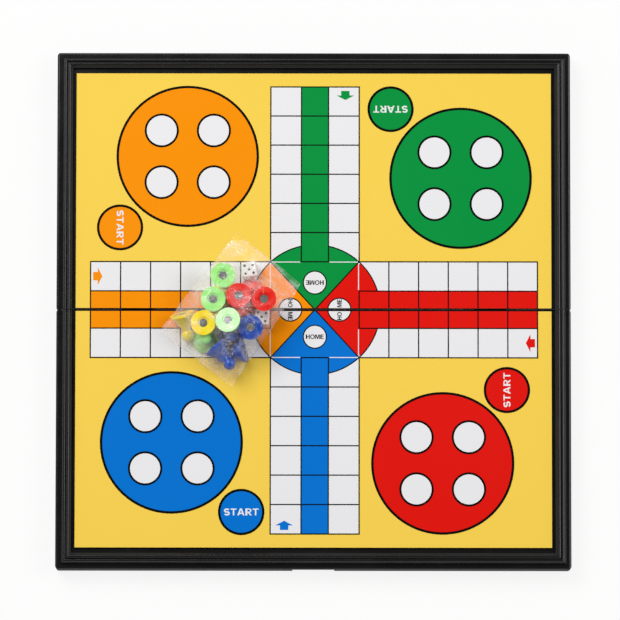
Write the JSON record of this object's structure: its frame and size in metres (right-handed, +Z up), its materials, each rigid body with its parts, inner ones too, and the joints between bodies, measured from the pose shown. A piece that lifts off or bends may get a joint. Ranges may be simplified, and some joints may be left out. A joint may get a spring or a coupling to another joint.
{
  "type": "folding board game box",
  "caption": "Square folding ludo board that shuts into a flat storage box, black moulded frame, printed plates, flip clasp and a clear bag of pawns and dice.",
  "frame": {"origin": "on the table, under the middle of the fold of the open board", "axes": "+X along the fold, +Y towards the rear half, +Z up from the table"},
  "size_m": [0.32, 0.3232, 0.0427],
  "materials": {
    "black_moulding": "satin moulded black",
    "hinge_moulding": "satin moulded black",
    "tape": "double-sided tape",
    "printed_plate": "yellow ground print on tinplate, semi-gloss",
    "ink_white": "printed ink, semi-gloss",
    "ink_black": "printed ink, semi-gloss",
    "ink_orange": "printed ink, semi-gloss",
    "ink_green": "printed ink, semi-gloss",
    "ink_red": "printed ink, semi-gloss",
    "ink_blue": "printed ink, semi-gloss",
    "pin_steel": "drawn wire",
    "magnet": "sintered, nickel plated",
    "pawn_green": "glossy moulded",
    "pawn_yellow": "glossy moulded",
    "pawn_red": "glossy moulded",
    "pawn_blue": "glossy moulded",
    "die_white": "polished moulded",
    "pip_black": "painted pips",
    "clear_film": "clear crinkled polyethylene film"
  },
  "bodies": {
    "rear_half": {"rear_case": "black_moulding", "rear_tape": "tape", "rear_plate": "printed_plate", "rear_hinge_pins": "pin_steel", "clasp_pin": "pin_steel", "rear_print_white": "ink_white", "rear_print_black": "ink_black", "rear_print_orange": "ink_orange", "rear_print_green": "ink_green", "rear_print_red": "ink_red"},
    "hinge_links": {"left_hinge_link": "hinge_moulding", "right_hinge_link": "hinge_moulding"},
    "front_half": {"front_case": "black_moulding", "front_tape": "tape", "front_plate": "printed_plate", "front_hinge_pins": "pin_steel", "front_print_white": "ink_white", "front_print_black": "ink_black", "front_print_orange": "ink_orange", "front_print_red": "ink_red", "front_print_blue": "ink_blue"},
    "clasp": {"clasp": "hinge_moulding"},
    "bag_of_pieces": {"polybag": "clear_film", "green_pawn_1": "pawn_green", "green_pawn_2": "pawn_green", "green_pawn_3": "pawn_green", "green_pawn_4": "pawn_green", "green_magnets": "magnet", "yellow_pawn_1": "pawn_yellow", "yellow_pawn_2": "pawn_yellow", "yellow_pawn_3": "pawn_yellow", "yellow_pawn_4": "pawn_yellow", "yellow_magnets": "magnet", "red_pawn_1": "pawn_red", "red_pawn_2": "pawn_red", "red_pawn_3": "pawn_red", "red_pawn_4": "pawn_red", "red_magnets": "magnet", "blue_pawn_1": "pawn_blue", "blue_pawn_2": "pawn_blue", "blue_pawn_3": "pawn_blue", "blue_pawn_4": "pawn_blue", "blue_magnets": "magnet", "die_1": "die_white", "die_1_pips": "pip_black", "die_2": "die_white", "die_2_pips": "pip_black"}
  },
  "joints": [
    {"name": "rear_fold", "type": "hinge", "parent": "rear_half", "child": "hinge_links", "pos_m": [0, 0.0028, 0.0027], "axis": [1, 0, 0], "range_deg": [0, 90]},
    {"name": "front_fold", "type": "hinge", "parent": "hinge_links", "child": "front_half", "pos_m": [0, -0.0028, 0.0027], "axis": [1, 0, 0], "range_deg": [0, 90]},
    {"name": "clasp_flip", "type": "hinge", "parent": "rear_half", "child": "clasp", "pos_m": [0, 0.1604, 0.0024], "axis": [-1, 0, 0], "range_deg": [0, 180]},
    {"name": "bag_lift", "type": "slide", "parent": "rear_half", "child": "bag_of_pieces", "axis": [0, 0, 1], "range_m": [0, 0.06]}
  ]
}
